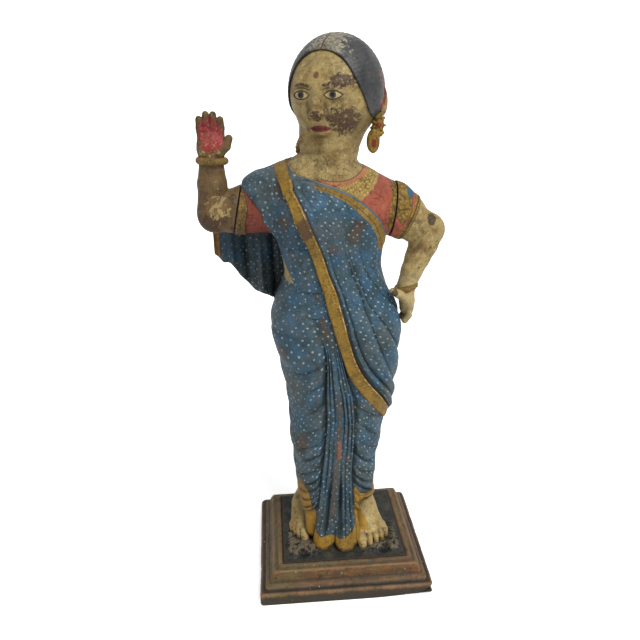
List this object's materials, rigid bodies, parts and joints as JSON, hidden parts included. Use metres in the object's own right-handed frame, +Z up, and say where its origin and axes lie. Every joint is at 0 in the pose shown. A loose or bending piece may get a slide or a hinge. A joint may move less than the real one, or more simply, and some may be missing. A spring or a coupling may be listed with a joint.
{
  "type": "painted wooden attendant statue",
  "caption": "Carved and painted wooden statue of a standing woman in a dotted sari, one hand raised and one on the hip, on a moulded plinth.",
  "frame": {"origin": "centre of the plinth's underside", "axes": "+Z up, the figure's front towards -Y, the figure's left hand towards +X"},
  "size_m": [0.3967, 0.268, 0.9115],
  "materials": {
    "plinth_paint": "old red-brown and ochre paint over wood, rubbed at the edges",
    "sari_paint": "old blue paint over carved wood with pale dots and ochre borders, worn brown on the ridges",
    "worn_skin_paint": "skin paint worn down to brown wood, with cream flakes",
    "skin_paint": "ivory paint over carved wood, grimy and slightly glossy"
  },
  "bodies": {
    "root": {"plinth": "plinth_paint", "figure": "sari_paint", "right_forearm": "worn_skin_paint", "left_arm": "skin_paint"}
  },
  "joints": []
}
